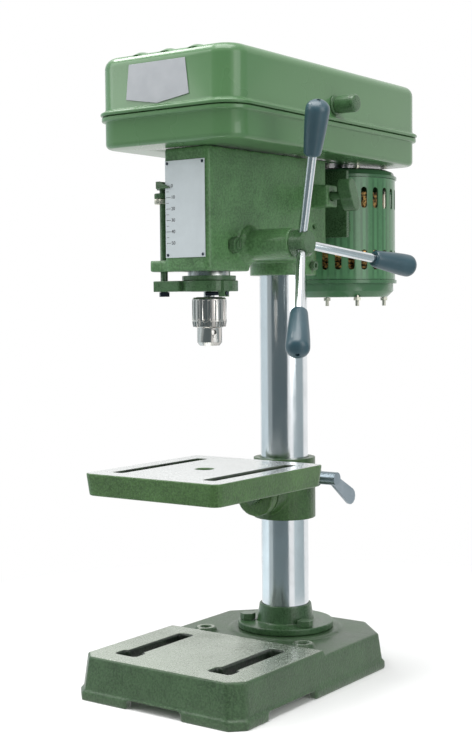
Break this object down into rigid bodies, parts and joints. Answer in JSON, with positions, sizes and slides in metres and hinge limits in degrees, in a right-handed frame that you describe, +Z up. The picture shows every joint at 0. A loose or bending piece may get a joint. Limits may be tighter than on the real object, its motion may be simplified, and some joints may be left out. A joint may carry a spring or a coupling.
{
  "type": "bench drill press",
  "caption": "Small bench drill press: cast base, round column, tilting slotted table, belt-driven head with hinged lid, feed spokes, depth stop and upright motor.",
  "frame": {"origin": "floor, in the middle of the machine's footprint box", "axes": "+Z up along the column, -Y towards the person drilling, +X towards the feed spokes"},
  "size_m": [0.2282, 0.3747, 0.5692],
  "materials": {
    "cast_green": "rough cast iron, dark green paint",
    "sheet_green": "smooth semi-gloss mid green paint",
    "ground_steel": "ground steel",
    "chrome": "polished",
    "chuck_steel": "turned and polished steel",
    "black_steel": "blackened steel",
    "zinc": "yellowish zinc plate",
    "aluminium": "satin aluminium",
    "knob_plastic": "dark blue-grey plastic, fine texture",
    "copper": "copper windings round a steel core",
    "core_steel": "laminated core steel",
    "rubber": "black rubber"
  },
  "bodies": {
    "frame": {"base": "cast_green", "column_flange": "cast_green", "flange_bolt_1": "black_steel", "flange_bolt_2": "black_steel", "flange_bolt_3": "black_steel", "column": "chrome", "head_casting": "cast_green", "quill_guide_screw": "zinc", "head_clamp_screw": "black_steel", "scale_plate": "aluminium", "sleeve_bearing": "ground_steel", "spring_cap": "cast_green", "belt_case": "sheet_green", "case_hinge_leaf": "zinc", "drive_belt": "rubber"},
    "lid": {"lid": "sheet_green", "lid_knob": "cast_green", "lid_hinge_leaf": "zinc", "lid_badge": "aluminium"},
    "quill": {"quill": "ground_steel", "quill_clamp": "cast_green", "quill_clamp_screw": "black_steel", "depth_rod": "black_steel", "scale_pointer": "cast_green"},
    "depth_stop": {"stop_nut_lower": "zinc", "stop_nut_upper": "zinc"},
    "spindle": {"spindle": "ground_steel", "chuck_body": "chuck_steel"},
    "chuck_sleeve": {"chuck_sleeve": "chuck_steel"},
    "jaw_1": {"chuck_jaw_1": "chuck_steel"},
    "jaw_2": {"chuck_jaw_2": "chuck_steel"},
    "jaw_3": {"chuck_jaw_3": "chuck_steel"},
    "spindle_pulley": {"spindle_pulley": "aluminium"},
    "feed": {"pinion_shaft": "ground_steel", "feed_hub": "cast_green", "feed_spoke_1": "chrome", "feed_spoke_2": "chrome", "feed_spoke_3": "chrome", "feed_knob_1": "knob_plastic", "feed_knob_2": "knob_plastic", "feed_knob_3": "knob_plastic"},
    "motor": {"motor_plate": "cast_green", "slide_bar_left": "ground_steel", "slide_bar_right": "ground_steel", "motor_shell": "sheet_green", "motor_top_bell": "sheet_green", "motor_bottom_bell": "sheet_green", "stator": "copper", "motor_stud_1": "zinc", "motor_stud_2": "zinc", "motor_stud_3": "zinc", "motor_stud_4": "zinc"},
    "rotor": {"rotor": "core_steel", "motor_fan": "aluminium", "motor_pulley": "aluminium"},
    "motor_lock": {"motor_lock_knob": "cast_green"},
    "bracket": {"table_bracket": "cast_green", "table_pivot_bolt": "zinc"},
    "table": {"table": "cast_green"},
    "lever": {"table_lever": "black_steel"}
  },
  "joints": [
    {"name": "lid_hinge", "type": "hinge", "parent": "frame", "child": "lid", "pos_m": [-0.1037, 0.0218, 0.5208], "axis": [0, -1, 0], "range_deg": [0, 75]},
    {"name": "quill_feed", "type": "slide", "parent": "frame", "child": "quill", "axis": [0, 0, -1], "range_m": [0, 0.05], "stiffness_N_per_m": 400, "springref_m": -0.08},
    {"name": "depth_stop_slide", "type": "slide", "parent": "quill", "child": "depth_stop", "axis": [0, 0, 1], "range_m": [0, 0.0026]},
    {"name": "spindle_spin", "type": "hinge", "parent": "quill", "child": "spindle", "pos_m": [-0.0215, -0.0977, 0.4], "axis": [0, 0, 1], "continuous": true},
    {"name": "chuck_sleeve_turn", "type": "hinge", "parent": "spindle", "child": "chuck_sleeve", "pos_m": [-0.0215, -0.0977, 0.345], "axis": [0, 0, 1], "range_deg": [0, 360]},
    {"name": "spindle_pulley_spin", "type": "hinge", "parent": "frame", "child": "spindle_pulley", "pos_m": [-0.0215, -0.0977, 0.51], "axis": [0, 0, 1], "continuous": true},
    {"name": "feed_turn", "type": "hinge", "parent": "frame", "child": "feed", "pos_m": [-0.0215, -0.07405, 0.4035], "axis": [1, 0, 0], "range_deg": [0, 360]},
    {"name": "motor_slide", "type": "slide", "parent": "frame", "child": "motor", "axis": [0, -1, 0], "range_m": [0, 0.012]},
    {"name": "rotor_spin", "type": "hinge", "parent": "motor", "child": "rotor", "pos_m": [-0.0215, 0.1308, 0.42], "axis": [0, 0, 1], "continuous": true},
    {"name": "motor_lock_turn", "type": "hinge", "parent": "frame", "child": "motor_lock", "pos_m": [0.0285, 0.0278, 0.452], "axis": [1, 0, 0], "range_deg": [-180, 0]},
    {"name": "bracket_slide", "type": "slide", "parent": "frame", "child": "bracket", "axis": [0, 0, 1], "range_m": [-0.07, 0.02]},
    {"name": "table_tilt", "type": "hinge", "parent": "bracket", "child": "table", "pos_m": [-0.0215, -0.0253, 0.171], "axis": [0, 1, 0], "range_deg": [-45, 45]},
    {"name": "table_lever_turn", "type": "hinge", "parent": "bracket", "child": "lever", "pos_m": [0.0185, 0.0218, 0.1845], "axis": [1, 0, 0], "range_deg": [-60, 60]},
    {"name": "jaw_1_slide", "type": "slide", "parent": "spindle", "child": "jaw_1", "axis": [-0.1674, -0.0916, -0.9816], "range_m": [0, 0.01]},
    {"name": "jaw_2_slide", "type": "slide", "parent": "spindle", "child": "jaw_2", "axis": [0.163, -0.0991, -0.9816], "range_m": [0, 0.01]},
    {"name": "jaw_3_slide", "type": "slide", "parent": "spindle", "child": "jaw_3", "axis": [0.0043, 0.1908, -0.9816], "range_m": [0, 0.01]}
  ],
  "couplings": [
    {"joint": "spindle_spin", "follows": "rotor_spin", "ratio": 0.80469},
    {"joint": "spindle_pulley_spin", "follows": "rotor_spin", "ratio": 0.80469},
    {"joint": "feed_turn", "follows": "quill_feed", "rad_per_m": 125},
    {"joint": "jaw_1_slide", "follows": "chuck_sleeve_turn", "m_per_rad": 0.00159},
    {"joint": "jaw_2_slide", "follows": "chuck_sleeve_turn", "m_per_rad": 0.00159},
    {"joint": "jaw_3_slide", "follows": "chuck_sleeve_turn", "m_per_rad": 0.00159}
  ]
}
